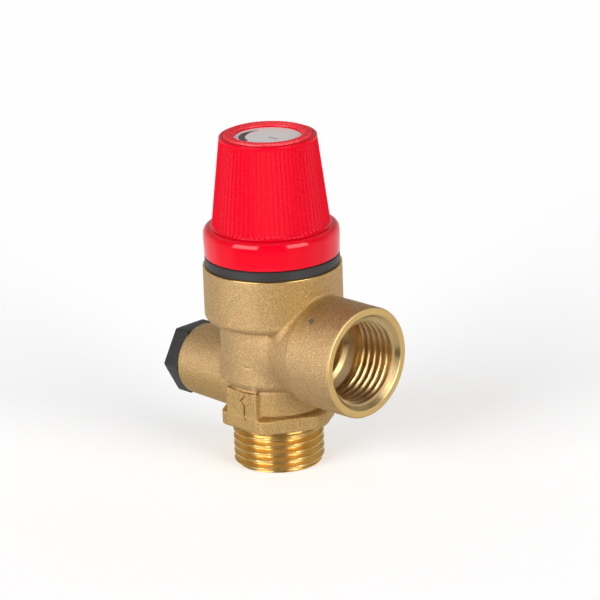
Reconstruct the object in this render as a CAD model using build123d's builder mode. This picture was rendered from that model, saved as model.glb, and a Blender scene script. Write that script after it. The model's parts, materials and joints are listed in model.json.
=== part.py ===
from build123d import *
import math
import os

# Pressure relief valve: brass body, plastic bonnet and a twist-to-test cap.
# Frame: millimetres, origin at the centre of the inlet's end face, +Z up the valve's axis,
# outlet along +X, gauge port along -X.

# ---- G 1/2 pipe thread, used at the inlet (male) and the outlet (female) ----
thread_pitch = 1.814
thread_major_r = 20.955 / 2
thread_minor_r = 18.631 / 2
thread_depth = 1.1
thread_flank = math.radians(27.5)
thread_root_width = 0.29

# ---- inlet end and hexagon ----
inlet_chamfer = 0.85
inlet_first_crest_z = 1.25
inlet_groove_count = 4
inlet_thread_top = 9.2
inlet_bore_r = 6.5
inlet_bore_chamfer = 0.6
inlet_bore_top = 20.6
band_r = 10.2
hex_bottom = 10.6
hex_top = 13.7
hex_across_flats = 23.5
hex_corner_r = 12.95
hex_edge = 0.35

# ---- core, arrow pads, neck and barrel ----
core_r = 10.1
pad_width = 9.4
pad_edge = 0.6
neck_r = 12.6
neck_bottom = 20.5
neck_round_width = 2.1
neck_round_height = 3.4
barrel_r = 15.95
barrel_bottom = 35.0
barrel_top = 47.9
barrel_round = 3.0
barrel_bore_r = 13.6
arrow_height = 0.2
arrow_foot_z = 13.2
arrow_neck_z = 17.1
arrow_tip_z = 19.3
arrow_x = 0.7
arrow_shaft_half = 0.4
arrow_head_half = 1.3

# ---- valve seat and chamber ----
chamber_r = 10.6
chamber_floor = 22.5
seat_z = 27.0
seat_throat_r = 6.2
seat_lip_in = 6.9
seat_lip_out = 7.5
seat_nozzle_r = 8.4
seat_bevel_height = 1.8
seat_nozzle_sink = 1.0
diaphragm_z = 40.5

# ---- outlet boss ----
outlet_z = 29.8
outlet_face = 29.05
outlet_r = 12.8
outlet_back = 15.7
outlet_web_r = 12.2
outlet_root_r = 10.8
outlet_root_x = 8.0
outlet_edge = 0.3
outlet_chamfer_r = 11.1
outlet_thread_start = 28.0
outlet_thread_end = 17.4
outlet_groove_count = 5
outlet_relief_r = 9.5
outlet_relief_end = 14.5
outlet_step_r = 9.0
outlet_step_x = 12.8
outlet_passage_r = 8.4
outlet_passage_start = 4.0

# ---- gauge boss and its plug ----
gauge_z = 19.3
gauge_face = 24.45
gauge_r = 8.4
gauge_root_r = 8.85
gauge_root_x = 6.0
gauge_bore_r = 6.6
gauge_bore_end = 14.5
gauge_bore_chamfer = 0.5
gauge_drill_r = 2.5
plug_head_height = 4.05
plug_head_corner_r = 8.65
plug_head_edge = 0.25
plug_shank_r = 6.5
plug_shank_length = 8.0
plug_groove_x = 22.4
plug_groove_r = 5.2
plug_groove_width = 1.7
o_ring_section_r = 0.7

# ---- bonnet ----
bonnet_flange_r = 15.45
bonnet_flange_top = 50.1
bonnet_flange_edge = 0.2
spigot_r = 13.5
spigot_bottom = 42.3
spigot_recess_r = 11.0
spigot_recess_top = 44.5
tower_bore_r = 8.8
tower_bore_start = 46.7
tower_base_r = 10.8
tower_r = 10.2
tower_top = 66.0

# ---- cam ramps between bonnet and cap: a turn of the cap lifts it ----
cam_count = 4
cam_turn = 80.0
cam_flat = 8.0
cam_lift = 2.0
cam_gap = 0.1
cam_start_gap = 0.5
cam_root = 0.4
cam_edge = 0.15

# ---- control cap ----
cap_bottom = 50.25
cap_bottom_r = 15.54
cap_bottom_edge = 0.3
cap_flange_r = 15.6
cap_flange_low = 51.2
cap_flange_high = 54.9
cap_shoulder_r = 13.9
cap_shoulder_z = 57.0
cap_cone_base_r = 13.6
cap_cone_base_z = 57.3
cap_cone_top_r = 11.2
cap_cone_top_z = 77.5
cap_step_r = 10.8
cap_step_z = 77.9
cap_rim_r = 10.3
cap_rim_edge = 0.15
cap_top = 78.4
cap_recess_r = 7.8
cap_recess_edge = 0.3
cap_ledge_z = 77.2
cap_pocket_r = 4.6
cap_pocket_floor = 73.8
cap_hub_bottom = 71.5
cap_hole_r = 2.15
cap_cavity_r = 13.9
cap_cavity_high = 55.0
cap_cavity_neck_r = 11.9
cap_cavity_neck_z = 57.2
cap_cavity_top_r = 10.7
flute_count = 72
flute_depth = 0.32
flute_base_r = 0.52
flute_top_r = 0.42
flute_foot_run = 0.2
flute_head_run = 1.0

# ---- stem and what it carries ----
stem_r = 2.5
stem_bottom = 21.4
stem_shoulder = 71.4
stem_neck_r = 2.1
stem_top = 73.9
stem_edge = 0.4
screw_shank_r = 1.25
screw_bottom = 68.0
screw_head_r = 2.6
screw_head_height = 1.9
screw_slot_width = 0.7
screw_slot_length = 2.1
screw_slot_depth = 0.8
cap_washer_r = 4.2
cap_washer_top = 74.7
hole_gap = 0.05
nut_across_flats = 8.0
gasket_nut_bottom = 22.2
gasket_washer_bottom = 26.2
gasket_washer_r = 5.2
gasket_r = 8.3
gasket_top = 29.5
holder_r = 9.3
holder_rim_z = 27.6
holder_cup_top = 31.5
holder_neck_r = 4.6
holder_flange_r = 8.2
holder_flange_z = 37.9
holder_edge = 0.5
diaphragm_thickness = 1.0
diaphragm_r = 13.4
fold_in_r = 8.4
fold_out_r = 10.8
fold_rise = 0.6
clamp_ring_in_r = 10.9
plate_r = 8.2
plate_top = 43.0
plate_boss_r = 5.3
plate_boss_top = 44.0
diaphragm_nut_top = 46.6

# ---- spring, its top plate, the adjusting nut and its bush ----
spring_mean_r = 6.9
spring_wire_r = 1.25
spring_top = 60.0
spring_turns = 5.5
spring_grind = 0.5
top_plate_r = 8.4
top_plate_hole_r = 3.4
top_plate_top = 61.2
top_plate_boss_height = 1.0
nut_r = 8.75
nut_sink = 0.3
nut_slot_width = 2.0
nut_slot_depth = 1.4
bush_r = 3.4
bush_hole_r = 2.55
bush_flange_r = 4.4
bush_flange_height = 0.6

label_r = 7.7
label_top = 77.5

diaphragm_top = diaphragm_z + diaphragm_thickness
fold_mid_r = (fold_in_r + fold_out_r) / 2
outlet_axis = Axis((0, 0, outlet_z), (1, 0, 0))
gauge_axis = Axis((0, 0, gauge_z), (1, 0, 0))
# a small overlap past a face being cut, and a size past anything a cutter has to reach
tiny = 0.05
beyond = 30.0


def ring_profile(inner_r, outer_r, low, high):
    """Rectangle of a washer's cross-section in the XZ plane, inside the current sketch."""
    with Locations(((inner_r + outer_r) / 2, (low + high) / 2)):
        Rectangle(outer_r - inner_r, high - low)


def outline(points):
    """Closed straight-sided outline, inside the current sketch."""
    Polygon(*points, align=None)


def across(x, z):
    """Plane square to the X axis, facing +X, with its origin on the given height."""
    return Plane(origin=(x, 0, z), x_dir=(0, 1, 0), z_dir=(1, 0, 0))


def finish(piece, label):
    """Name a finished piece and write its STEP file."""
    piece.part.label = label
    export_step(piece.part, "parts/" + label + ".step")


os.makedirs("parts", exist_ok=True)

# =============================================================== valve body, outside
with BuildPart() as valve_body:
    # thread blank, band, core, neck with its rounded foot, and barrel
    with BuildSketch(Plane.XZ):
        with BuildLine():
            Polyline(
                (0, barrel_top),
                (0, 0),
                (thread_major_r - inlet_chamfer, 0),
                (thread_major_r, inlet_chamfer),
                (thread_major_r, inlet_thread_top),
                (band_r, inlet_thread_top),
                (band_r, hex_bottom),
                (core_r, hex_bottom),
                (core_r, neck_bottom),
                (neck_r - neck_round_width, neck_bottom),
            )
            EllipticalCenterArc(
                (neck_r - neck_round_width, neck_bottom + neck_round_height),
                neck_round_width,
                neck_round_height,
                start_angle=270,
                arc_size=90,
            )
            Polyline(
                (neck_r, neck_bottom + neck_round_height),
                (neck_r, barrel_bottom),
                (barrel_r - barrel_round, barrel_bottom),
            )
            RadiusArc(
                (barrel_r - barrel_round, barrel_bottom),
                (barrel_r, barrel_bottom + barrel_round),
                -barrel_round,
            )
            Polyline(
                (barrel_r, barrel_bottom + barrel_round),
                (barrel_r, barrel_top),
                (0, barrel_top),
            )
        make_face()
    revolve(axis=Axis.Z)

    # hexagon with its corners turned down
    with BuildSketch(Plane.XY.offset(hex_bottom)):
        RegularPolygon(hex_across_flats / 2, 6, major_radius=False)
        Circle(hex_corner_r, mode=Mode.INTERSECT)
    extrude(amount=hex_top - hex_bottom)

    # flat pads that carry the flow arrows, level with two of the hexagon's flats
    with BuildSketch(Plane.XY.offset(hex_bottom + hex_edge)) as pad_plan:
        Rectangle(pad_width, hex_across_flats)
        fillet(pad_plan.vertices(), pad_edge)
    extrude(amount=neck_bottom + neck_round_width - hex_bottom)

    # outlet boss: a cone out of the neck, then a cylinder
    with BuildSketch(Plane.XZ):
        outline(
            [
                (0, outlet_z),
                (0, outlet_z + outlet_root_r),
                (outlet_root_x, outlet_z + outlet_root_r),
                (outlet_back, outlet_z + outlet_web_r),
                (outlet_back, outlet_z + outlet_r),
                (outlet_face - outlet_edge, outlet_z + outlet_r),
                (outlet_face, outlet_z + outlet_r - outlet_edge),
                (outlet_face, outlet_z),
            ]
        )
    revolve(axis=outlet_axis)

    # gauge boss, slightly tapered
    with BuildSketch(Plane.XZ):
        outline(
            [
                (0, gauge_z),
                (0, gauge_z + gauge_root_r),
                (-gauge_root_x, gauge_z + gauge_root_r),
                (-gauge_face, gauge_z + gauge_r),
                (-gauge_face, gauge_z),
            ]
        )
    revolve(axis=gauge_axis)

    # flow arrows, one on each pad
    for side in (1, -1):
        arrow_plane = Plane(
            origin=(0, -side * hex_across_flats / 2, 0),
            x_dir=(side, 0, 0),
            z_dir=(0, -side, 0),
        )
        with BuildSketch(arrow_plane):
            outline(
                [
                    (arrow_x - arrow_shaft_half, arrow_foot_z),
                    (arrow_x + arrow_shaft_half, arrow_foot_z),
                    (arrow_x + arrow_shaft_half, arrow_neck_z),
                    (arrow_x + arrow_head_half, arrow_neck_z),
                    (arrow_x, arrow_tip_z),
                    (arrow_x - arrow_head_half, arrow_neck_z),
                    (arrow_x - arrow_shaft_half, arrow_neck_z),
                ]
            )
        extrude(amount=arrow_height)

    # -------------------------------------------------------- valve body, inside
    # chamber and barrel bore, up the valve's axis
    with BuildSketch(Plane.XZ):
        outline(
            [
                (0, chamber_floor),
                (chamber_r, chamber_floor),
                (chamber_r, diaphragm_z),
                (barrel_bore_r, diaphragm_z),
                (barrel_bore_r, barrel_top + tiny),
                (0, barrel_top + tiny),
            ]
        )
    revolve(axis=Axis.Z, mode=Mode.SUBTRACT)

    # outlet passage, step, relief, thread's inner diameter and mouth
    with BuildSketch(Plane.XZ):
        outline(
            [
                (outlet_passage_start, outlet_z),
                (outlet_passage_start, outlet_z + outlet_passage_r),
                (outlet_step_x, outlet_z + outlet_passage_r),
                (outlet_step_x, outlet_z + outlet_step_r),
                (outlet_relief_end, outlet_z + outlet_relief_r),
                (outlet_thread_end, outlet_z + outlet_relief_r),
                (outlet_thread_end, outlet_z + thread_minor_r),
                (outlet_thread_start, outlet_z + thread_minor_r),
                (outlet_face, outlet_z + outlet_chamfer_r),
                (outlet_face + tiny, outlet_z + outlet_chamfer_r),
                (outlet_face + tiny, outlet_z),
            ]
        )
    revolve(axis=outlet_axis, mode=Mode.SUBTRACT)

    # seat nozzle, standing in the chamber
    with BuildSketch(Plane.XZ):
        outline(
            [
                (seat_throat_r, chamber_floor - seat_nozzle_sink),
                (seat_nozzle_r, chamber_floor - seat_nozzle_sink),
                (seat_nozzle_r, seat_z - seat_bevel_height),
                (seat_lip_out, seat_z),
                (seat_lip_in, seat_z),
                (seat_throat_r, seat_z - (seat_lip_in - seat_throat_r)),
            ]
        )
    revolve(axis=Axis.Z)

    # inlet bore and the narrower throat below the seat
    with BuildSketch(Plane.XZ):
        outline(
            [
                (0, -tiny),
                (inlet_bore_r + inlet_bore_chamfer, -tiny),
                (inlet_bore_r + inlet_bore_chamfer, 0),
                (inlet_bore_r, inlet_bore_chamfer),
                (inlet_bore_r, inlet_bore_top),
                (seat_throat_r, inlet_bore_top),
                (seat_throat_r, chamber_floor),
                (0, chamber_floor),
            ]
        )
    revolve(axis=Axis.Z, mode=Mode.SUBTRACT)

    # gauge port and the drilled hole from it into the inlet bore
    with BuildSketch(Plane.XZ):
        outline(
            [
                (0, gauge_z),
                (0, gauge_z + gauge_drill_r),
                (-gauge_bore_end, gauge_z + gauge_drill_r),
                (-gauge_bore_end, gauge_z + gauge_bore_r),
                (-gauge_face + gauge_bore_chamfer, gauge_z + gauge_bore_r),
                (-gauge_face, gauge_z + gauge_bore_r + gauge_bore_chamfer),
                (-gauge_face - tiny, gauge_z + gauge_bore_r + gauge_bore_chamfer),
                (-gauge_face - tiny, gauge_z),
            ]
        )
    revolve(axis=gauge_axis, mode=Mode.SUBTRACT)

    # thread grooves: rings of the true pitch and flank angle stand for the helix
    root_half = thread_root_width / 2
    crest_half = root_half + thread_depth * math.tan(thread_flank)
    with BuildSketch(Plane.XZ):
        for turn in range(inlet_groove_count):
            groove_z = inlet_first_crest_z + (turn + 0.5) * thread_pitch
            outline(
                [
                    (thread_major_r, groove_z - crest_half),
                    (thread_major_r, groove_z + crest_half),
                    (thread_major_r - thread_depth, groove_z + root_half),
                    (thread_major_r - thread_depth, groove_z - root_half),
                ]
            )
    revolve(axis=Axis.Z, mode=Mode.SUBTRACT)
    with BuildSketch(Plane.XZ):
        for turn in range(outlet_groove_count):
            groove_x = outlet_thread_start - (turn + 0.8) * thread_pitch
            outline(
                [
                    (groove_x - crest_half, outlet_z + thread_minor_r),
                    (groove_x + crest_half, outlet_z + thread_minor_r),
                    (groove_x + root_half, outlet_z + thread_minor_r + thread_depth),
                    (groove_x - root_half, outlet_z + thread_minor_r + thread_depth),
                ]
            )
    revolve(axis=outlet_axis, mode=Mode.SUBTRACT)
finish(valve_body, "valve_body")

# =============================================================== gauge plug and O-ring
with BuildPart() as gauge_plug:
    with BuildSketch(across(-gauge_face - plug_head_height, gauge_z)):
        RegularPolygon(plug_head_corner_r, 6)
    extrude(amount=plug_head_height)
    chamfer(gauge_plug.faces().sort_by(Axis.X)[0].edges(), plug_head_edge)
    with BuildSketch(across(-gauge_face, gauge_z)):
        Circle(plug_shank_r)
    extrude(amount=plug_shank_length)
    with BuildSketch(across(-plug_groove_x - plug_groove_width / 2, gauge_z)):
        Circle(plug_shank_r)
        Circle(plug_groove_r, mode=Mode.SUBTRACT)
    extrude(amount=plug_groove_width, mode=Mode.SUBTRACT)
finish(gauge_plug, "gauge_plug")

with BuildPart() as gauge_plug_o_ring:
    with BuildSketch(Plane.XZ):
        with Locations((-plug_groove_x, gauge_z + plug_groove_r + o_ring_section_r)):
            Circle(o_ring_section_r)
    revolve(axis=gauge_axis)
finish(gauge_plug_o_ring, "gauge_plug_o_ring")

# =============================================================== cam teeth
# A turn of the cap slides its helical teeth up the bonnet's helical teeth and so lifts it.
cam_in_r = tower_bore_r + cam_edge
cam_out_r = tower_r - cam_edge
cam_mid_r = (cam_in_r + cam_out_r) / 2
cam_width = cam_out_r - cam_in_r
cam_pitch = cam_lift * 360 / cam_turn
cam_height = cam_lift + cam_root

# bonnet's tooth: ramp up over the turn, then a short flat; z = 0 is the foot of the ramp
with BuildPart() as bonnet_cam:
    with BuildLine():
        Helix(pitch=cam_pitch, height=cam_lift, radius=cam_mid_r)
    with BuildSketch(Plane.XZ):
        with Locations((cam_mid_r, -cam_height / 2)):
            Rectangle(cam_width, cam_height)
    sweep(is_frenet=True)
    with BuildSketch(Plane.XZ.rotated((0, 0, cam_turn))):
        ring_profile(cam_in_r, cam_out_r, -cam_root, cam_lift)
    revolve(axis=Axis.Z, revolution_arc=cam_flat)
    with BuildSketch(Plane.XY.offset(-cam_root)):
        Circle(beyond)
    extrude(amount=-beyond, mode=Mode.SUBTRACT)

# cap's tooth: the same ramp, hanging from the level of the ramp's top
with BuildPart() as cap_cam:
    with BuildLine():
        Helix(pitch=cam_pitch, height=cam_lift, radius=cam_mid_r)
    with BuildSketch(Plane.XZ):
        with Locations((cam_mid_r, cam_height / 2)):
            Rectangle(cam_width, cam_height)
    sweep(is_frenet=True)
    with BuildSketch(Plane.XY.offset(cam_height)):
        Circle(beyond)
    extrude(amount=beyond, mode=Mode.SUBTRACT)
    with BuildSketch(Plane.XZ):
        ring_profile(cam_in_r - tiny, cam_out_r + tiny, -tiny, cam_height)
    revolve(axis=Axis.Z, revolution_arc=cam_start_gap, mode=Mode.SUBTRACT)

# =============================================================== bonnet
with BuildPart() as spring_bonnet:
    with BuildSketch(Plane.XZ):
        outline(
            [
                (spigot_recess_r, spigot_bottom),
                (spigot_r, spigot_bottom),
                (spigot_r, barrel_top),
                (bonnet_flange_r - bonnet_flange_edge, barrel_top),
                (bonnet_flange_r, barrel_top + bonnet_flange_edge),
                (bonnet_flange_r, bonnet_flange_top - bonnet_flange_edge),
                (bonnet_flange_r - bonnet_flange_edge, bonnet_flange_top),
                (tower_base_r, bonnet_flange_top),
                (tower_r, tower_top),
                (tower_bore_r, tower_top),
                (tower_bore_r, tower_bore_start),
                (spigot_recess_r, spigot_recess_top),
            ]
        )
    revolve(axis=Axis.Z)
    with Locations((0, 0, tower_top)):
        with PolarLocations(0, cam_count):
            add(bonnet_cam.part)
finish(spring_bonnet, "spring_bonnet")

# =============================================================== diaphragm and its clamp ring
with BuildPart() as diaphragm:
    with BuildSketch(Plane.XZ):
        with BuildLine():
            Polyline(
                (fold_in_r, diaphragm_z),
                (stem_r + hole_gap, diaphragm_z),
                (stem_r + hole_gap, diaphragm_top),
                (fold_in_r, diaphragm_top),
            )
            ThreePointArc(
                (fold_in_r, diaphragm_top),
                (fold_mid_r, diaphragm_top + fold_rise),
                (fold_out_r, diaphragm_top),
            )
            Polyline(
                (fold_out_r, diaphragm_top),
                (diaphragm_r, diaphragm_top),
                (diaphragm_r, diaphragm_z),
                (fold_out_r, diaphragm_z),
            )
            ThreePointArc(
                (fold_out_r, diaphragm_z),
                (fold_mid_r, diaphragm_z + fold_rise),
                (fold_in_r, diaphragm_z),
            )
        make_face()
    revolve(axis=Axis.Z)
finish(diaphragm, "diaphragm")

with BuildPart() as diaphragm_clamp_ring:
    with BuildSketch(Plane.XZ):
        ring_profile(clamp_ring_in_r, diaphragm_r, diaphragm_top, spigot_bottom)
    revolve(axis=Axis.Z)
finish(diaphragm_clamp_ring, "diaphragm_clamp_ring")

# =============================================================== stem
with BuildPart() as stem:
    with BuildSketch(Plane.XZ):
        outline(
            [
                (0, stem_bottom),
                (stem_r - stem_edge, stem_bottom),
                (stem_r, stem_bottom + stem_edge),
                (stem_r, stem_shoulder),
                (stem_neck_r, stem_shoulder),
                (stem_neck_r, stem_top),
                (screw_shank_r, stem_top),
                (screw_shank_r, screw_bottom),
                (0, screw_bottom),
            ]
        )
    revolve(axis=Axis.Z)
finish(stem, "stem")

# =============================================================== disc holder, gasket and fixings
with BuildPart() as disc_holder:
    with BuildSketch(Plane.XZ):
        outline(
            [
                (stem_r, gasket_top),
                (gasket_r, gasket_top),
                (gasket_r, holder_rim_z),
                (holder_r, holder_rim_z),
                (holder_r, holder_cup_top - holder_edge),
                (holder_r - holder_edge, holder_cup_top),
                (holder_neck_r, holder_cup_top),
                (holder_neck_r, holder_flange_z),
                (holder_flange_r - holder_edge, holder_flange_z),
                (holder_flange_r, holder_flange_z + holder_edge),
                (holder_flange_r, diaphragm_z),
                (stem_r, diaphragm_z),
            ]
        )
    revolve(axis=Axis.Z)
finish(disc_holder, "disc_holder")

with BuildPart() as seat_gasket:
    with BuildSketch(Plane.XZ):
        ring_profile(stem_r, gasket_r, seat_z, gasket_top)
    revolve(axis=Axis.Z)
finish(seat_gasket, "seat_gasket")

with BuildPart() as gasket_washer:
    with BuildSketch(Plane.XZ):
        ring_profile(stem_r, gasket_washer_r, gasket_washer_bottom, seat_z)
    revolve(axis=Axis.Z)
finish(gasket_washer, "gasket_washer")

# the two hexagon nuts on the stem, with their corners chamfered
nut_flat_r = nut_across_flats / 2
nut_corner_r = nut_flat_r / math.cos(math.radians(30))
nut_drop = (nut_corner_r - nut_flat_r) * math.tan(math.radians(30))
stem_nuts = {
    "gasket_nut": (gasket_nut_bottom, gasket_washer_bottom),
    "diaphragm_nut": (plate_boss_top, diaphragm_nut_top),
}
for label, (low, high) in stem_nuts.items():
    with BuildPart() as stem_nut:
        with BuildSketch(Plane.XY.offset(low)):
            RegularPolygon(nut_flat_r, 6, major_radius=False)
            Circle(stem_r, mode=Mode.SUBTRACT)
        extrude(amount=high - low)
        with BuildSketch(Plane.XZ):
            outline(
                [
                    (0, low),
                    (nut_flat_r, low),
                    (nut_corner_r, low + nut_drop),
                    (nut_corner_r, high - nut_drop),
                    (nut_flat_r, high),
                    (0, high),
                ]
            )
        revolve(axis=Axis.Z, mode=Mode.INTERSECT)
    finish(stem_nut, label)

# =============================================================== spring and its plates
with BuildPart() as lower_spring_plate:
    with BuildSketch(Plane.XZ):
        ring_profile(stem_r, plate_r, diaphragm_top, plate_top)
        ring_profile(stem_r, plate_boss_r, plate_top, plate_boss_top)
    revolve(axis=Axis.Z)
finish(lower_spring_plate, "lower_spring_plate")

with BuildPart() as relief_spring:
    # the wire's end turns are ground flat where they bear on the plates
    wire_low = plate_top + spring_wire_r - spring_grind
    wire_high = spring_top - spring_wire_r + spring_grind
    with BuildLine(Plane.XY.offset(wire_low)):
        Helix(
            pitch=(wire_high - wire_low) / spring_turns,
            height=wire_high - wire_low,
            radius=spring_mean_r,
        )
    with BuildSketch(Plane.XZ):
        with Locations((spring_mean_r, wire_low)):
            Circle(spring_wire_r)
    sweep(is_frenet=True)
    with BuildSketch(Plane.XY.offset(plate_top)):
        Circle(beyond)
    extrude(amount=spring_top - plate_top, mode=Mode.INTERSECT)
finish(relief_spring, "relief_spring")

with BuildPart() as spring_top_plate:
    with BuildSketch(Plane.XZ):
        ring_profile(top_plate_hole_r, top_plate_r, spring_top, top_plate_top)
        ring_profile(
            top_plate_hole_r, plate_boss_r, spring_top - top_plate_boss_height, spring_top
        )
    revolve(axis=Axis.Z)
finish(spring_top_plate, "spring_top_plate")

with BuildPart() as adjusting_nut:
    with BuildSketch(Plane.XZ):
        ring_profile(bush_r, nut_r, top_plate_top, tower_top - nut_sink)
    revolve(axis=Axis.Z)
    # one slot across the top face for a setting tool
    with BuildSketch(Plane.XY.offset(tower_top - nut_sink)):
        Rectangle(beyond, nut_slot_width)
    extrude(amount=-nut_slot_depth, mode=Mode.SUBTRACT)
finish(adjusting_nut, "adjusting_nut")

with BuildPart() as stem_guide_bush:
    with BuildSketch(Plane.XZ):
        ring_profile(bush_hole_r, bush_r, top_plate_top, tower_top - nut_sink)
        ring_profile(
            bush_hole_r,
            bush_flange_r,
            tower_top - nut_sink,
            tower_top - nut_sink + bush_flange_height,
        )
    revolve(axis=Axis.Z)
finish(stem_guide_bush, "stem_guide_bush")

# =============================================================== control cap
# cutter for one flute: a slim cone laid along the slant of the cap's side, run out at both ends
slant_foot = Vector(cap_cone_base_r, 0, cap_cone_base_z)
slant_head = Vector(cap_cone_top_r, 0, cap_cone_top_z)
slant = (slant_head - slant_foot).normalized()
slant_out = Vector(slant.Z, 0, -slant.X)
flute_foot = slant_foot - slant * flute_foot_run + slant_out * (flute_base_r - flute_depth)
flute_head = slant_head + slant * flute_head_run + slant_out * (flute_top_r - flute_depth)
with BuildPart() as flute_cutter:
    with Locations(Plane(origin=flute_foot, z_dir=flute_head - flute_foot)):
        Cone(
            flute_base_r,
            flute_top_r,
            (flute_head - flute_foot).length,
            align=(Align.CENTER, Align.CENTER, Align.MIN),
        )

with BuildPart() as control_cap:
    with BuildSketch(Plane.XZ) as cap_section:
        with BuildLine():
            Polyline(
                (cap_shoulder_r, cap_shoulder_z),
                (cap_cone_base_r, cap_cone_base_z),
                (cap_cone_top_r, cap_cone_top_z),
                (cap_step_r, cap_step_z),
                (cap_rim_r, cap_step_z),
                (cap_rim_r, cap_top - cap_rim_edge),
                (cap_rim_r - cap_rim_edge, cap_top),
                (cap_recess_r + cap_recess_edge, cap_top),
                (cap_recess_r, cap_top - cap_recess_edge),
                (cap_recess_r, cap_ledge_z),
                (cap_pocket_r, cap_ledge_z),
                (cap_pocket_r, cap_pocket_floor),
                (cap_hole_r, cap_pocket_floor),
                (cap_hole_r, cap_hub_bottom),
                (tower_bore_r, cap_hub_bottom),
                (tower_bore_r, tower_top + cam_gap + cam_lift),
                (cap_cavity_top_r, tower_top + cam_gap + cam_lift),
                (cap_cavity_neck_r, cap_cavity_neck_z),
                (cap_cavity_r, cap_cavity_high),
                (cap_cavity_r, cap_bottom),
                (cap_bottom_r - cap_bottom_edge, cap_bottom),
                (cap_bottom_r, cap_bottom + cap_bottom_edge),
                (cap_flange_r, cap_flange_low),
                (cap_flange_r, cap_flange_high),
            )
            EllipticalCenterArc(
                (cap_shoulder_r, cap_flange_high),
                cap_flange_r - cap_shoulder_r,
                cap_shoulder_z - cap_flange_high,
                start_angle=0,
                arc_size=90,
            )
        make_face()
    revolve(axis=Axis.Z)
    with PolarLocations(0, flute_count):
        add(flute_cutter.part, mode=Mode.SUBTRACT)
    with Locations((0, 0, tower_top + cam_gap)):
        with PolarLocations(0, cam_count):
            add(cap_cam.part)
finish(control_cap, "control_cap")

with BuildPart() as cap_washer:
    with BuildSketch(Plane.XZ):
        ring_profile(screw_shank_r, cap_washer_r, stem_top, cap_washer_top)
    revolve(axis=Axis.Z)
finish(cap_washer, "cap_washer")

with BuildPart() as cap_screw:
    with BuildSketch(Plane.XZ):
        ring_profile(0, screw_head_r, cap_washer_top, cap_washer_top + screw_head_height)
    revolve(axis=Axis.Z)
    chamfer(cap_screw.edges().sort_by(Axis.Z)[-1], stem_edge)
    with BuildSketch(Plane.XZ):
        ring_profile(0, screw_shank_r, screw_bottom, cap_washer_top)
    revolve(axis=Axis.Z)
    with BuildSketch(Plane.XY.offset(cap_washer_top + screw_head_height)):
        Rectangle(screw_slot_length, screw_slot_width)
        Rectangle(screw_slot_width, screw_slot_length)
    extrude(amount=-screw_slot_depth, mode=Mode.SUBTRACT)
finish(cap_screw, "cap_screw")

with BuildPart() as label_disc:
    with BuildSketch(Plane.XY.offset(cap_ledge_z)):
        Circle(label_r)
    extrude(amount=label_top - cap_ledge_z)
finish(label_disc, "label_disc")
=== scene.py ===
import json
import math

import bpy
import numpy as np
from mathutils import Matrix, Vector


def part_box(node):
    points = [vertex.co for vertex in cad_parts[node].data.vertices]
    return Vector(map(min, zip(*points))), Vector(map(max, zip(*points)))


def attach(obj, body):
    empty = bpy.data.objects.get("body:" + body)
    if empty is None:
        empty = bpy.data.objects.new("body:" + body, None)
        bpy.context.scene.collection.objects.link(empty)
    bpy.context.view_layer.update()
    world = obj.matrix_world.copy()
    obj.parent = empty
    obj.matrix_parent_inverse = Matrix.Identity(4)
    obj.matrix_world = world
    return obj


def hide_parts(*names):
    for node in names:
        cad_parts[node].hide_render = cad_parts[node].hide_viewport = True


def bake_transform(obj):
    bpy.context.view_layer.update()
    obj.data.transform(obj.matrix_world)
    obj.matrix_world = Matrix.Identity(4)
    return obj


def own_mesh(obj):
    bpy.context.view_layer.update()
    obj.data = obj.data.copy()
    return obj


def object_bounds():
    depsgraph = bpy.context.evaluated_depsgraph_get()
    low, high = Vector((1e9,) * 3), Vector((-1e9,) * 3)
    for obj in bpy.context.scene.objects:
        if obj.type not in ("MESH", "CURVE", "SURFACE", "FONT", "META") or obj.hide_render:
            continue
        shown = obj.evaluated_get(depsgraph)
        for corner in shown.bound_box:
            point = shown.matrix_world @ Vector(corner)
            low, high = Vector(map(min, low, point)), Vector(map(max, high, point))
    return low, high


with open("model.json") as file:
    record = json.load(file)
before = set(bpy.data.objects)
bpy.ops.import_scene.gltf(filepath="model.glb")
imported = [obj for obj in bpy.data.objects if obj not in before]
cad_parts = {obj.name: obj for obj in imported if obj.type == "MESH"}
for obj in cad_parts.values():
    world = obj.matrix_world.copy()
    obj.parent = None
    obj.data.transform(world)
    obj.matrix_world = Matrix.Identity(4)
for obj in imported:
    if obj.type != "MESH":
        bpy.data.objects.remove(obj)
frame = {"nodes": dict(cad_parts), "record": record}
cad_low, cad_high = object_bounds()
MM = 0.001

# ---- sizes in millimetres: z up the stem from the inlet's end, x out along the outlet ----
BODY_LOW, BODY_HIGH = (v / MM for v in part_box("valve_body"))
PLUG_LOW, PLUG_HIGH = (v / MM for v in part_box("gauge_plug"))
SPRING_LOW, SPRING_HIGH = (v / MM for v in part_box("relief_spring"))
SHEET_LOW, SHEET_HIGH = (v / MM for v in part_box("diaphragm"))

# G 1/2 pipe thread: male at the inlet, female in the outlet
PITCH, CREST_R, ROOT_R = 1.814, 20.955 / 2, 18.631 / 2
# outside of the forging: hexagon, core and neck above it, barrel, outlet boss, gauge port
HEX_LOW, HEX_HIGH, HEX_FLAT, HEX_CORNER = 10.3, 13.9, 11.75, 13.15
HEX_UNDER_OUTLET = 0.95  # how much further out the side under the outlet stands
CORE_R, NECK_R, NECK_LOW = 10.1, 12.6, 20.5
PAD_HALF = 4.8
CREASE_R, CREASE_Z, CREASE_WIRE = 11.85, 20.15, 0.5
BARREL_R, BARREL_LOW, BARREL_TOP = 15.95, 35.0, BODY_HIGH.z
OUT_Z, OUT_FACE, OUT_R, OUT_BACK = 29.8, BODY_HIGH.x, 12.8, 15.7
PORT_Z, PORT_FACE = 19.3, BODY_LOW.x
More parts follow.
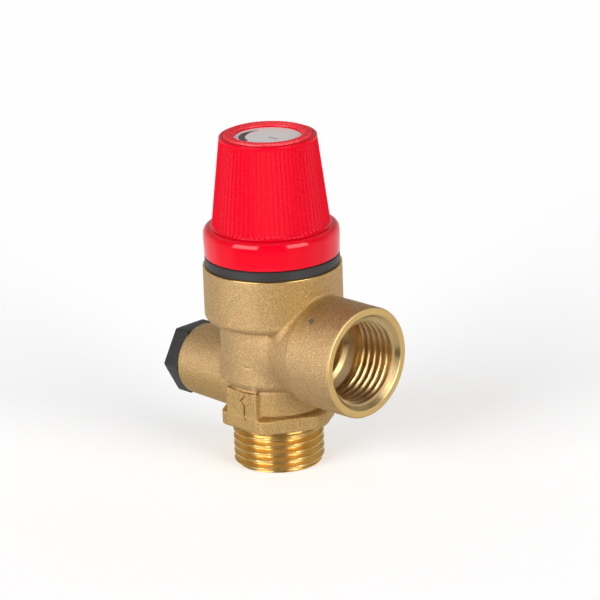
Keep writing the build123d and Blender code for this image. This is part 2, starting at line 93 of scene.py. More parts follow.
# inside of it
CHAMBER_R, CHAMBER_Z, CHAMBER_HALF = 10.6, 31.6, 9.1
SEAT_R, SEAT_Z = 13.6, 40.5
RELIEF_R, RELIEF_X, PASSAGE_R, PASSAGE_X = 9.6, 13.4, 8.4, 4.0
NOZZLE_R, NOZZLE_FOOT_R, NOZZLE_TOP = 7.5, 8.4, 27.0
WAY_R, WAY_TOP, NOZZLE_BORE_R, NOZZLE_BORE_TOP = 6.5, 20.6, 6.2, 27.1
GAUGE_R, GAUGE_X, DRILL_R, DRILL_X = 6.6, 14.5, 2.5, 15.0
# how far the turned surfaces stand proud of the field's, so that the two don't coincide
PROUD = 0.002
SHARP_ANGLE = math.radians(30)
ARROW_DEPTH = 0.36
SPOT = (19.8, -7.9, 39.9)  # a small dark mark on the outlet boss


# ======================================================================= mesh helpers
def corner_normals(points, faces):
    """Normals at the corners of the faces, smooth except over sharp edges."""
    mesh = bpy.data.meshes.new("scratch")
    mesh.from_pydata(points.tolist(), [], faces)
    mesh.polygons.foreach_set("use_smooth", np.ones(len(faces), bool))
    mesh.set_sharp_from_angle(angle=SHARP_ANGLE)
    out = np.empty(len(mesh.loops) * 3, np.float32)
    mesh.corner_normals.foreach_get("vector", out)
    bpy.data.meshes.remove(mesh)
    return out.reshape(-1, 3)


def new_object(name, parts, materials):
    """One mesh object from (points in mm, faces, material index, normals or None) parts."""
    points, faces, slots, normals, base = [], [], [], [], 0
    for p, f, slot, n in parts:
        points.append(p)
        faces += [tuple(i + base for i in face) for face in f]
        slots += [slot] * len(f) if np.isscalar(slot) else list(slot)
        flat = np.fromiter((i for face in f for i in face), np.int64)
        normals.append(corner_normals(p, f) if n is None else n[flat])
        base += len(p)
    mesh = bpy.data.meshes.new(name)
    mesh.from_pydata((np.vstack(points) * MM).tolist(), [], faces)
    mesh.polygons.foreach_set("material_index", np.array(slots, np.int32))
    mesh.polygons.foreach_set("use_smooth", np.ones(len(faces), bool))
    for m in materials:
        mesh.materials.append(m)
    mesh.update()
    mesh.normals_split_custom_set(np.vstack(normals).tolist())
    obj = bpy.data.objects.new(name, mesh)
    bpy.context.scene.collection.objects.link(obj)
    return obj


def grid_faces(rows, cols, flip=False, wrap=True):
    """Quads over a grid of rows of points, closed round the columns if wrap is set."""
    r, c = np.meshgrid(
        np.arange(rows - 1), np.arange(cols if wrap else cols - 1), indexing="ij"
    )
    n = (c + 1) % cols
    here, above = r * cols, (r + 1) * cols
    quads = np.stack([here + c, here + n, above + n, above + c], -1).reshape(-1, 4)
    return [tuple(q) for q in (quads[:, ::-1] if flip else quads).tolist()]


def rounded(corners, steps=4):
    """Profile points (radius, height) from corners (radius, height, rounding)."""
    out = []
    for i, (r, h, ease) in enumerate(corners):
        here = np.array((r, h), float)
        if ease == 0 or i in (0, len(corners) - 1):
            out.append(here)
            continue
        before = np.array(corners[i - 1][:2], float)
        after = np.array(corners[i + 1][:2], float)
        a, b = before - here, after - here
        a *= min(ease / np.linalg.norm(a), 0.49)
        b *= min(ease / np.linalg.norm(b), 0.49)
        for t in np.linspace(0, 1, steps + 1):
            out.append(here + a * (1 - t) ** 2 + b * t * t)
    return np.array(out)


def turned(profile, cols, place, shape=None, flip=False, slot=0):
    """Surface of revolution. place(r, h, angle) gives its points; shape(r, h, angle) alters r.

    slot is one material index, or one for each row of the profile.
    """
    angle = np.linspace(0, 2 * np.pi, cols, endpoint=False)[None, :]
    r, h = profile[:, :1], profile[:, 1:]
    if shape is not None:
        r = shape(r, h, angle)
    r, h, angle = np.broadcast_arrays(r, h, angle)
    points = np.stack(place(r, h, angle), -1).reshape(-1, 3)
    slots = np.repeat(np.asarray(slot)[1:], cols) if np.ndim(slot) else slot
    return points, grid_faces(len(profile), cols, flip), slots, None


def about_z(r, h, angle):
    return r * np.cos(angle), r * np.sin(angle), h


def about_outlet(r, h, angle):
    return h, r * np.cos(angle), OUT_Z + r * np.sin(angle)


def about_port(r, h, angle):
    return h, r * np.cos(angle), PORT_Z + r * np.sin(angle)


def ramp(x, low, high):
    """0 below low, 1 above high, eased between."""
    t = np.clip((x - low) / (high - low), 0, 1)
    return t * t * (3 - 2 * t)


def between(low, high, step):
    """Evenly spaced values from low to high, about step apart."""
    return np.linspace(low, high, max(2, int(round(abs(high - low) / step)) + 1))


def thread_form(phase):
    """0 on a pipe thread's crest, 1 in its root, with straight flanks between."""
    t = 1 - np.abs((phase % 1.0) * 2 - 1)
    return np.clip((t - 0.16) / 0.66, 0, 1)


# ======================================================================= field of the forging
def join(a, b, r):
    """Union of two fields with a fillet of radius r between them."""
    fillet = np.hypot(np.maximum(r - a, 0), np.maximum(r - b, 0))
    return np.maximum(r, np.minimum(a, b)) - fillet


def meet(a, b, r):
    """What two fields share, with the edge between them rounded to radius r."""
    edge = np.hypot(np.maximum(r + a, 0), np.maximum(r + b, 0))
    return np.minimum(-r, np.maximum(a, b)) + edge


def hexagon(x, y, flat, r):
    """Hexagon whose sides are flat from the axis, but for the one under the outlet."""
    c, s = math.cos(math.pi / 3), math.sin(math.pi / 3)
    under_outlet = np.maximum(
        s * x + c * y - flat - HEX_UNDER_OUTLET, -s * x - c * y - flat
    )
    sides = [np.abs(y) - flat, under_outlet, np.abs(s * x - c * y) - flat]
    return meet(meet(sides[0], sides[1], r), sides[2], r)


# outline of the flow arrow as (across the pad, up), and the box that holds it
ARROW = np.array(
    [
        (0.85, 13.1),
        (1.65, 13.1),
        (1.65, 16.5),
        (2.65, 17.3),
        (1.25, 19.05),
        (-0.15, 17.3),
        (0.85, 16.5),
    ]
)
ARROW_LOW, ARROW_HIGH = np.array((-0.6, 12.6)), np.array((3.1, 19.5))


def sunk_arrow(x, y, z):
    """How far the flow arrow on each flat pad is sunk at a point."""
    x, y, z = np.broadcast_arrays(x, y, z)
    across = -np.sign(y) * x
    near = (np.abs(y) > 10.5) & (across > ARROW_LOW[0]) & (across < ARROW_HIGH[0])
    near &= (z > ARROW_LOW[1]) & (z < ARROW_HIGH[1])
    out = np.zeros(x.shape)
    u, v = across[near], z[near]
    gap, inside = np.full(u.shape, 9.0), np.zeros(u.shape, bool)
    for a, b in zip(ARROW, np.roll(ARROW, -1, 0)):
        e = b - a
        t = np.clip(((u - a[0]) * e[0] + (v - a[1]) * e[1]) / (e @ e), 0, 1)
        gap = np.minimum(gap, np.hypot(u - a[0] - t * e[0], v - a[1] - t * e[1]))
        if e[1]:
            crosses = (a[1] > v) != (b[1] > v)
            inside ^= crosses & (u < a[0] + (v - a[1]) * e[0] / e[1])
    out[near] = ARROW_DEPTH * (1 - ramp(np.where(inside, -gap, gap), -0.11, 0.11))
    return out


def body_field(x, y, z):
    """Signed distance, roughly, to the valve body: below 0 inside the metal."""
    rho = np.hypot(x, y)
    rho_out = np.hypot(y, z - OUT_Z)
    rho_port = np.hypot(y, z - PORT_Z)

    barrel = meet(rho - BARREL_R, BARREL_LOW - z, 1.7)
    neck = meet(rho - NECK_R, (NECK_LOW - z) * 0.8, 1.3)
    # the core is undercut just above the hexagon
    waist = CORE_R - 0.7 + 2.0 * ramp(z, 14.0, 14.35)
    core = np.maximum(rho - waist, HEX_LOW - z)
    core = np.maximum(core, z - NECK_LOW - 4)
    nut = meet(hexagon(x, y, HEX_FLAT, 0.3), rho - HEX_CORNER, 0.3)
    top_slope = z - HEX_HIGH + 0.10 * (rho - CORE_R)
    nut = meet(meet(nut, HEX_LOW - z, 0.35), top_slope, 0.4)
    pad = meet(np.abs(x) - PAD_HALF, np.abs(y) - HEX_FLAT - 0.05, 0.3)
    pad = meet(pad, np.maximum(HEX_LOW + 0.35 - z, z - NECK_LOW - 2.1), 0.3)

    reach = np.clip((x - 8.0) / (OUT_BACK - 8.0), 0, 1)
    web = np.maximum(rho_out - (10.8 + 1.4 * reach), np.maximum(-x, x - OUT_BACK - 2))
    boss = meet(rho_out - OUT_R, OUT_BACK - x, 0.35)
    side = join(web, boss, 0.3)
    draft = (-x - 6.0) / (-PORT_FACE - 6.0)
    port = rho_port - (8.85 - 0.45 * np.clip(draft, 0, 1))
    port = meet(np.maximum(port, x), PORT_FACE - x, 0.3)

    solid = join(barrel, neck, 0.45)
    solid = join(solid, core, 0.35)
    solid = join(solid, join(nut, pad, 0.3), 0.3)
    crease = np.hypot(rho - CREASE_R, z - CREASE_Z) - CREASE_WIRE
    solid = meet(solid, -crease, 0.2)
    solid = join(solid, side, 1.7 - 0.9 * ramp(z, 34, 38))
    solid = join(solid, port, 0.9)
    # faint line where the forging dies met, a nick in the neck, and the sunk flow arrows
    solid = solid - 0.05 * np.exp(-((y / 0.35) ** 2)) * (rho > 9)
    bow = z - 26.1 - 0.12 * (x - 2.9) ** 2
    nick = np.exp(-((bow / 0.22) ** 2) - ((x - 2.9) / 0.9) ** 2)
    solid = solid + 0.16 * nick * (y < 0) + sunk_arrow(x, y, z)

    chamber = np.maximum(rho - CHAMBER_R, np.abs(z - CHAMBER_Z) - CHAMBER_HALF)
    bore = np.maximum(rho - SEAT_R, SEAT_Z - z)
    passage_r = np.where(x > RELIEF_X, RELIEF_R, PASSAGE_R)
    passage = np.maximum(rho_out - passage_r, PASSAGE_X - x)
    nozzle_r = np.minimum(NOZZLE_FOOT_R, NOZZLE_R + (NOZZLE_TOP - z) * 0.5)
    nozzle = np.maximum(rho - nozzle_r, z - NOZZLE_TOP)
    hollow = np.minimum(np.minimum(chamber, bore), passage)
    hollow = np.maximum(hollow, -nozzle)
    way = np.minimum(
        np.maximum(rho - WAY_R, z - WAY_TOP),
        np.maximum(rho - NOZZLE_BORE_R, z - NOZZLE_BORE_TOP),
    )
    gauge = np.maximum(rho_port - GAUGE_R, x + GAUGE_X)
    drill = np.maximum(rho_port - DRILL_R, np.maximum(x, -x - DRILL_X))
    hollow = np.minimum(hollow, np.minimum(way, np.minimum(gauge, drill)))
    return meet(solid, -hollow, 0.12)


def field_slope(p, e=0.04):
    """Gradient of the body's field at points p."""
    out = np.empty_like(p)
    for k in range(3):
        d = np.zeros(3)
        d[k] = e
        out[:, k] = (body_field(*(p + d).T) - body_field(*(p - d).T)) / (2 * e)
    return out


def field_surface(low, high, step, drop):
    """Quads on the body's surface, from a grid of samples step apart.

    drop(centres) says which to leave out. The result is a part for new_object.
    """
    axes = [np.arange(a, b + step, step) for a, b in zip(low, high)]
    f = body_field(axes[0][:, None, None], axes[1][None, :, None], axes[2][None, None, :])
    inside = f < 0
    corners = [(i, j, k) for i in (0, 1) for j in (0, 1) for k in (0, 1)]
    n = np.array(f.shape) - 1
    count = sum(
        inside[i : n[0] + i, j : n[1] + j, k : n[2] + k].astype(np.int8)
        for i, j, k in corners
    )
    active = (count > 0) & (count < 8)
    cells = np.argwhere(active)
    index = np.full(active.shape, -1, np.int64)
    index[active] = np.arange(len(cells))
    # a point in each cell that the surface crosses, at the mean of its edges' crossings
    total, hits = np.zeros((len(cells), 3)), np.zeros(len(cells))
    for a in range(3):
        for c in corners:
            if c[a]:
                continue
            c0, c1 = np.array(c), np.array(c)
            c1[a] = 1
            f0 = f[tuple((cells + c0).T)]
            f1 = f[tuple((cells + c1).T)]
            cross = (f0 < 0) != (f1 < 0)
            t = np.where(cross, f0 / np.where(cross, f0 - f1, 1), 0)
            total += cross[:, None] * (cells + c0 + t[:, None] * (c1 - c0))
            hits += cross
    p = np.array(low) + step * total / hits[:, None]
    # a quad round each edge of the grid that the surface crosses
    quads = []
    for a in range(3):
        b, c = (a + 1) % 3, (a + 2) % 3
        first = [slice(1, n[0]), slice(1, n[1]), slice(1, n[2])]
        first[a] = slice(0, n[a])
        second = list(first)
        second[a] = slice(1, n[a] + 1)
        s0, s1 = inside[tuple(first)], inside[tuple(second)]
        at = np.argwhere(s0 != s1)
        lead = s0[tuple(at.T)]
        offset = np.ones(3, int)
        offset[a] = 0
        at = at + offset
        ring = []
        for db, dc in ((0, 0), (-1, 0), (-1, -1), (0, -1)):
            move = np.zeros(3, int)
            move[b], move[c] = db, dc
            ring.append(index[tuple((at + move).T)])
        ring = np.stack(ring, 1)
        quads.append(np.where(lead[:, None], ring, ring[:, ::-1]))
    quads = np.vstack(quads)
    # the points are drawn on to the surface
    for _ in range(4):
        g = field_slope(p)
        value = body_field(*p.T)
        move = value[:, None] * g / np.maximum((g * g).sum(1), 0.05)[:, None]
        size = np.linalg.norm(move, axis=1)[:, None]
        p = p - move * np.minimum(1, 0.5 * step / np.maximum(size, 1e-9))
    centres = p[quads].mean(1)
    quads = quads[~drop(centres)]
    used = np.unique(quads)
    renumber = np.full(len(p), -1, np.int64)
    renumber[used] = np.arange(len(used))
    p, quads = p[used], renumber[quads]
    g = field_slope(p)
    g /= np.maximum(np.linalg.norm(g, axis=1), 1e-9)[:, None]
    return p, [tuple(q) for q in quads.tolist()], 0, g


def arrow_zone(c, inset):
    """The patches round the flow arrows, which are sampled more finely."""
    across = -np.sign(c[:, 1]) * c[:, 0]
    zone = (np.abs(c[:, 1]) > 11.0) & (np.abs(c[:, 1]) < 12.3)
    zone &= (across > ARROW_LOW[0] + inset) & (across < ARROW_HIGH[0] - inset)
    return zone & (c[:, 2] > ARROW_LOW[1] + inset) & (c[:, 2] < ARROW_HIGH[1] - inset)


def machined_zone(c):
    """Where turned surfaces take over from the forging's field."""
    rho = np.hypot(c[:, 0], c[:, 1])
    rho_out = np.hypot(c[:, 1], c[:, 2] - OUT_Z)
    mouth = (c[:, 0] > 13.2) & (rho_out < 10.6) | (c[:, 0] > OUT_FACE - 0.75)
    top = c[:, 2] > BARREL_TOP - 0.6
    top |= (c[:, 2] > 44) & (rho < 14)
    foot = (c[:, 2] < HEX_LOW + 0.3) & (rho < 10.15) | (c[:, 2] < HEX_LOW - 0.2)
    return mouth | top | foot


# ======================================================================= materials
def material(name, build):
    """New material; build(tree, shader) sets its Principled shader."""
    m = bpy.data.materials.new(name)
    m.use_nodes = True
    tree = m.node_tree
    tree.nodes.clear()
    out = tree.nodes.new("ShaderNodeOutputMaterial")
    shader = tree.nodes.new("ShaderNodeBsdfPrincipled")
    tree.links.new(shader.outputs[0], out.inputs[0])
    build(tree, shader)
    return m


def node(tree, kind, inputs=(), **settings):
    """New node. inputs maps sockets to values, or to the sockets they are linked from."""
    n = tree.nodes.new(kind)
    for key, value in settings.items():
        setattr(n, key, value)
    for key, value in dict(inputs).items():
        if isinstance(value, bpy.types.NodeSocket):
            tree.links.new(value, n.inputs[key])
        else:
            n.inputs[key].default_value = value
    return n


def place_of(tree):
    """Where a point is on the object, in metres."""
    return node(tree, "ShaderNodeTexCoord").outputs["Object"]


def noise(tree, where, size_mm, detail=2.0, rough=0.5):
    """Noise whose cells are about size_mm across."""
    return node(
        tree,
        "ShaderNodeTexNoise",
        {"Vector": where, "Scale": 1000 / size_mm, "Detail": detail, "Roughness": rough},
    ).outputs["Fac"]


def spread(tree, value, low, high, to_low=0.0, to_high=1.0):
    """Maps low..high to to_low..to_high, and holds it there beyond them."""
    inputs = {"Value": value, "From Min": low, "From Max": high}
    inputs.update({"To Min": to_low, "To Max": to_high})
    return node(tree, "ShaderNodeMapRange", inputs, clamp=True).outputs[0]


def blend(tree, factor, a, b, mode="MIX"):
    """Colour a with b laid over it by factor."""
    n = node(tree, "ShaderNodeMix", data_type="RGBA", blend_type=mode)
    for socket, value in ((n.inputs[0], factor), (n.inputs[6], a), (n.inputs[7], b)):
        if isinstance(value, bpy.types.NodeSocket):
            tree.links.new(value, socket)
        elif socket == n.inputs[0]:
            socket.default_value = value
        else:
            socket.default_value = (*value, 1)
    return n.outputs[2]


def math_node(tree, operation, a, b=0.0):
    return node(tree, "ShaderNodeMath", {0: a, 1: b}, operation=operation).outputs[0]


def vector_math(tree, operation, *values):
    inputs = dict(enumerate(values))
    return node(tree, "ShaderNodeVectorMath", inputs, operation=operation)


def window(tree, value, low, high, soft):
    """1 where low < value < high, with edges eased over twice soft."""
    rise = spread(tree, value, low - soft, low + soft)
    fall = spread(tree, value, high - soft, high + soft, 1, 0)
    return math_node(tree, "MULTIPLY", rise, fall)


def bump(tree, height, depth_mm, strength=1.0):
    inputs = {"Height": height, "Distance": depth_mm * MM, "Strength": strength}
    return node(tree, "ShaderNodeBump", inputs).outputs[0]


def forged_brass(tree, shader):
    where = place_of(tree)
    grain = noise(tree, where, 0.27, 3.0, 0.75)
    coarse = noise(tree, where, 0.95, 2.0, 0.6)
    patch = noise(tree, where, 3.2, 3.0, 0.6)
    cloud = noise(tree, where, 11.0, 2.0, 0.5)
    pits = noise(tree, where, 1.3, 1.0, 0.4)
    patches = spread(tree, patch, 0.30, 0.70)
    tone = blend(tree, patches, (0.67, 0.45, 0.215), (0.73, 0.50, 0.25))
    clouds = spread(tree, cloud, 0.50, 0.75, 0, 0.35)
    tone = blend(tree, clouds, tone, (0.66, 0.42, 0.185))
    dark = spread(tree, grain, 0.34, 0.52, 0.75, 0)
    tone = blend(tree, dark, tone, (0.44, 0.28, 0.13))
    light = spread(tree, grain, 0.50, 0.66, 0, 0.85)
    tone = blend(tree, light, tone, (0.92, 0.68, 0.38))
    pit = spread(tree, pits, 0.20, 0.27, 0.35, 0)
    tone = blend(tree, pit, tone, (0.30, 0.18, 0.08))
    # painted shade and golden bounce light where the outlet boss leaves the barrel: the barrel
    # is tinted darker and more golden round the boss's root
    away = vector_math(tree, "DISTANCE", where, (0.0145, -0.007, 0.044)).outputs["Value"]
    away = math_node(tree, "ADD", away, spread(tree, coarse, 0.3, 0.7, -0.002, 0.002))
    tint = spread(tree, away, 0.004, 0.0115, 0.8, 0)
    tone = blend(tree, tint, tone, (0.78, 0.745, 0.53), "MULTIPLY")
    # painted shade: below the neck the forging is tinted a little darker and yellower
    split = node(tree, "ShaderNodeSeparateXYZ", {0: where})
    x, z = split.outputs[0], split.outputs[2]
    foot = spread(tree, z, 0.018, 0.021, 1, 0)
    tone = blend(tree, foot, tone, (0.95, 0.93, 0.78), "MULTIPLY")
    # painted shade: the top of the outlet boss is tinted darker, for the dark of the cap's
    # shadow that it reflects
    beyond, above = spread(tree, x, 0.0158, 0.0180), spread(tree, z, 0.0375, 0.0420)
    boss_top_shade = math_node(tree, "MULTIPLY", beyond, above)
    tone = blend(tree, boss_top_shade, tone, (0.76, 0.79, 0.79), "MULTIPLY")
    # the small dark mark, with an uneven edge
    centre = tuple(v * MM for v in SPOT)
    spot = vector_math(tree, "DISTANCE", where, centre).outputs["Value"]
    spot = math_node(tree, "ADD", spot, spread(tree, coarse, 0.3, 0.7, -0.0004, 0.0004))
    mark = spread(tree, spot, 0.0006, 0.0011, 0.75, 0)
    tone = blend(tree, mark, tone, (0.20, 0.19, 0.17))
    tree.links.new(tone, shader.inputs["Base Color"])
    tree.links.new(spread(tree, patch, 0.3, 0.7, 0.58, 0.66), shader.inputs["Roughness"])
    shader.inputs["Metallic"].default_value = 1.0
    relief = math_node(tree, "ADD", grain, math_node(tree, "MULTIPLY", coarse, 0.8))
    tree.links.new(bump(tree, relief, 0.11, 1.0), shader.inputs["Normal"])


LEAN = 0.45  # how far the tangent of turned brass leans out from the axis


def machined_brass(axis, centre, rough, low, high):
    """Turned brass: highlights are drawn out across the fine grooves round the axis."""

    def build(tree, shader):
        where = place_of(tree)
        tint = noise(tree, where, 4.0, 3.0, 0.6)
        lines = noise(tree, where, 0.35, 2.0, 0.6)
        tone = blend(tree, spread(tree, tint, 0.35, 0.7), low, high)
        tree.links.new(tone, shader.inputs["Base Color"])
        roughness = spread(tree, tint, 0.3, 0.7, rough - 0.03, rough + 0.03)
        tree.links.new(roughness, shader.inputs["Roughness"])
        shader.inputs["Metallic"].default_value = 1.0
        shader.inputs["Anisotropic"].default_value = 0.8
        # tangent: along the axis, leaning out from it so that end faces have one too
        flatten = tuple(1.0 - abs(a) for a in axis)
        arm = vector_math(tree, "SUBTRACT", where, centre).outputs[0]
        arm = vector_math(tree, "MULTIPLY", arm, flatten).outputs[0]
        arm = vector_math(tree, "NORMALIZE", arm).outputs[0]
        tangent = vector_math(tree, "MULTIPLY_ADD", arm, (LEAN, LEAN, LEAN), axis)
        tree.links.new(tangent.outputs[0], shader.inputs["Tangent"])
        tree.links.new(bump(tree, lines, 0.006, 0.4), shader.inputs["Normal"])

    return build


def plastic(low, high, rough, grain_mm=0.35, depth=0.02, specular=0.5):
    """Moulded plastic between two colours and two roughnesses, with a fine grain."""

    def build(tree, shader):
        where = place_of(tree)
        speck = noise(tree, where, grain_mm, 3.0, 0.6)
        patch = noise(tree, where, 7.0, 2.0, 0.5)
        tree.links.new(blend(tree, patch, low, high), shader.inputs["Base Color"])
        roughness = spread(tree, speck, 0.3, 0.7, *rough)
        tree.links.new(roughness, shader.inputs["Roughness"])
        tree.links.new(bump(tree, speck, depth, 0.5), shader.inputs["Normal"])
        shader.inputs["Specular IOR Level"].default_value = specular

    return build


def metal(low, high, rough):
    """Plain metal between two colours and two roughnesses."""

    def build(tree, shader):
        where = place_of(tree)
        patch = noise(tree, where, 2.5, 3.0, 0.6)
        tree.links.new(blend(tree, patch, low, high), shader.inputs["Base Color"])
        tree.links.new(spread(tree, patch, 0.3, 0.7, *rough), shader.inputs["Roughness"])
        shader.inputs["Metallic"].default_value = 1.0

    return build


# the curved arrow on the label, in metres and radians: see label_print
STROKE_R, STROKE_HALF, STROKE_EDGE = 0.0059, 0.00075, 0.00005
STROKE_FROM = math.radians(212)


def label_print(tree, shader):
    """Pale disc with a curved arrow for the way the cap turns."""
    where = place_of(tree)
    split = node(tree, "ShaderNodeSeparateXYZ", {0: where})
    x, y = split.outputs[0], split.outputs[1]

    def times(a, b):
        return math_node(tree, "MULTIPLY", a, b)

    radius = math_node(tree, "SQRT", math_node(tree, "ADD", times(x, x), times(y, y)))
    # the angle is counted from STROKE_FROM, so that it doesn't wrap inside the arrow
    c, s = math.cos(STROKE_FROM), math.sin(STROKE_FROM)
    ahead = math_node(tree, "ADD", times(x, c), times(y, s))
    beside = math_node(tree, "SUBTRACT", times(y, c), times(x, s))
    angle = math_node(tree, "ARCTAN2", beside, ahead)
    # half-width of the stroke: a point at one end, full in the middle, blunt at the other
    point = spread(tree, angle, -1.05, -0.30, 0.0, STROKE_HALF)
    width = times(point, spread(tree, angle, 0.80, 0.84, 1, 0))
    off = math_node(tree, "ABSOLUTE", math_node(tree, "SUBTRACT", radius, STROKE_R))
    past = math_node(tree, "SUBTRACT", off, width)
    ink = spread(tree, past, -STROKE_EDGE, STROKE_EDGE, 1, 0)
    ink = times(ink, spread(tree, width, STROKE_EDGE, 2 * STROKE_EDGE))
    # a small plain dash, in place of the maker's printing
    dash = times(
        window(tree, x, 0.0006, 0.0034, 0.0001), window(tree, y, -0.0006, 0.0001, 0.0001)
    )
    ink = math_node(tree, "MAXIMUM", ink, times(dash, 0.55))
    speck = noise(tree, where, 2.0)
    paper = blend(tree, speck, (0.86, 0.84, 0.825), (0.92, 0.90, 0.885))
    printed = blend(tree, ink, paper, (0.05, 0.04, 0.05))
    tree.links.new(printed, shader.inputs["Base Color"])
    shader.inputs["Roughness"].default_value = 0.35


OUTLET_AXIS = (1, 0, 0), (0, 0, OUT_Z * MM)
STEM_AXIS = (0, 0, 1), (0, 0, 0)

# colours are linear; the third argument of metal and plastic is the range of roughness
finishes = {
    "forged_brass": forged_brass,
    "machined_brass": machined_brass(*STEM_AXIS, 0.33, (0.80, 0.53, 0.17), (0.88, 0.63, 0.26)),
    "outlet_brass": machined_brass(*OUTLET_AXIS, 0.31, (0.84, 0.59, 0.26), (0.92, 0.69, 0.37)),
    # painted shade: a darker copy of the brass, for the walls of the sunk flow arrows
    "shaded_brass": metal((0.40, 0.24, 0.09), (0.52, 0.33, 0.13), (0.4, 0.5)),
    # painted light: paler brass for the relief groove, for light bounced about inside the bore;
    # its roughness is the turned surface's own
    "lit_relief_brass": machined_brass(*OUTLET_AXIS, 0.6, (0.93, 0.72, 0.40), (0.98, 0.80, 0.50)),
    "face_brass": metal((0.86, 0.58, 0.22), (0.95, 0.66, 0.27), (0.42, 0.5)),
    "black_plastic": plastic((0.024, 0.022, 0.022), (0.036, 0.034, 0.034), (0.38, 0.5)),
    "rubber": plastic((0.02, 0.02, 0.02), (0.03, 0.03, 0.03), (0.6, 0.75)),
    "steel": metal((0.55, 0.55, 0.56), (0.68, 0.68, 0.69), (0.22, 0.34)),
    "spring_steel": metal((0.28, 0.29, 0.31), (0.40, 0.41, 0.43), (0.3, 0.42)),
    "white_plastic": plastic((0.74, 0.73, 0.70), (0.80, 0.79, 0.77), (0.35, 0.45)),
    "red_plastic": plastic(
        (0.70, 0.0006, 0.013), (0.74, 0.0010, 0.017), (0.07, 0.10), 0.8, 0.003, 0.36
    ),
    "red_satin": plastic(
        (0.70, 0.0, 0.014), (0.74, 0.0003, 0.018), (0.22, 0.30), 0.5, 0.01, 0.11
    ),
    "red_grained": plastic(
        (0.92, 0.012, 0.030), (0.98, 0.020, 0.040), (0.24, 0.34), 0.5, 0.3, 1.0
    ),
    "label_face": label_print,
}
looks = {name: material(name, build) for name, build in finishes.items()}

# every CAD node takes the finish of its slot in the record
slot_of = {p["node"]: p["material_slot"] for p in frame["record"]["subparts"]}
for label, obj in frame["nodes"].items():
    obj.data.materials.clear()
    obj.data.materials.append(looks[slot_of[label]])


# ======================================================================= valve body
# slots of the body's mesh, in the order of body_looks below
FORGED, TURNED, OUTLET, FACE, RELIEF, SHADED = range(6)
OUTLET_START, OUTLET_TURN = 27.83, 0.09  # a crest of the outlet's thread: place and angle
MOUTH_R = 11.1  # the outlet's chamfer, where it meets the end face
INLET_TURN = 0.2  # in turns
THREAD_STEP = 0.09


def outlet_radius(r, h, angle):
    """Cuts the female pipe thread into the outlet's bore."""
    phase = (OUTLET_START - h) / PITCH - (angle - OUTLET_TURN) / (2 * np.pi)
    depth = (CREST_R - ROOT_R) * ramp(h, 18.2, 19.6)
    cut = ROOT_R + depth * thread_form(phase)
    inside = (h > 17.0) & (h < OUT_FACE - 0.02) & (r < 11.05)
    return np.where(inside, np.maximum(r, cut), r + 0 * angle)


def inlet_radius(r, h, angle):
    """Cuts the male pipe thread round the inlet."""
    phase = h / PITCH - angle / (2 * np.pi) + INLET_TURN
    depth = (CREST_R - ROOT_R) * (1 - ramp(h, 8.5, 9.3))
    cut = CREST_R - depth * thread_form(phase)
    outside = (h > 0.02) & (h < 9.3) & (r > 9.5)
    return np.where(outside, np.minimum(r, cut), r + 0 * angle)


outlet_rim = rounded(
    [
        (OUT_R + PROUD, OUT_FACE - 1.3, 0),
        (OUT_R + PROUD, OUT_FACE, 0.55),
        (MOUTH_R, OUT_FACE, 0.15),
        (ROOT_R, 27.9, 0),
    ],
    5,
)[:-1]
chamfer_rows = between(28.95, 28.1, 0.08)
chamfer_r = np.interp(chamfer_rows, (28.08, 29.05), (10.13, MOUTH_R))
thread_rows = between(28.04, 17.4, THREAD_STEP)
outlet_profile = np.vstack(
    [
        outlet_rim,
        np.stack([chamfer_r, chamfer_rows], 1),
        np.stack([np.full_like(thread_rows, ROOT_R), thread_rows], 1),
        rounded(
            [
                (ROOT_R + 0.05, 17.35, 0),
                (RELIEF_R, 17.3, 0),
                (9.45, 14.3, 0.2),
                (8.45, 13.5, 0.12),
                (PASSAGE_R, 11.5, 0),
            ]
        ),
    ]
)
outlet_r, outlet_x = outlet_profile.T
outlet_slots = np.full(len(outlet_profile), OUTLET)
outlet_slots[(outlet_x > OUT_FACE - 0.05) & (outlet_r < 12.6)] = FACE
outlet_slots[outlet_r > OUT_R - 0.3] = FORGED
# the relief groove takes the paler brass with its painted light
outlet_slots[(outlet_x < 17.2) & (outlet_r > 9.2)] = RELIEF
outlet = turned(outlet_profile, 360, about_outlet, shape=outlet_radius, slot=outlet_slots)

END_R = 9.6275  # the inlet's chamfer, where it meets the end face
lead_rows = between(0.25, 0.85, 0.1)
lead_r = np.interp(lead_rows, (0, 0.85), (END_R, CREST_R))
inlet_rows = between(0.9, 9.2, THREAD_STEP)
inlet_profile = np.vstack(
    [
        rounded(
            [
                (WAY_R, 11.5, 0),
                (WAY_R, 0.6, 0.1),
                (7.1, 0, 0.1),
                (END_R, 0, 0.12),
                (9.8, 0.17, 0),
            ]
        ),
        np.stack([lead_r, lead_rows], 1),
        np.stack([np.full_like(inlet_rows, CREST_R), inlet_rows], 1),
        np.array([(10.22, 9.35), (10.2, 9.6), (10.2, HEX_LOW + 0.6)]),
    ]
)
inlet = turned(inlet_profile, 360, about_z, shape=inlet_radius, flip=True, slot=TURNED)

barrel_profile = rounded(
    [
        (BARREL_R + PROUD, BARREL_TOP - 1.0, 0),
        (BARREL_R + PROUD, BARREL_TOP, 0.14),
        (SEAT_R, BARREL_TOP, 0.3),
        (SEAT_R, 43.8, 0),
    ],
    5,
)
barrel_slots = np.where(barrel_profile[:, 1] > BARREL_TOP - 0.13, TURNED, FORGED)
barrel_slots[barrel_profile[:, 0] < 14] = TURNED
barrel_end = turned(barrel_profile, 360, about_z, flip=True, slot=barrel_slots)

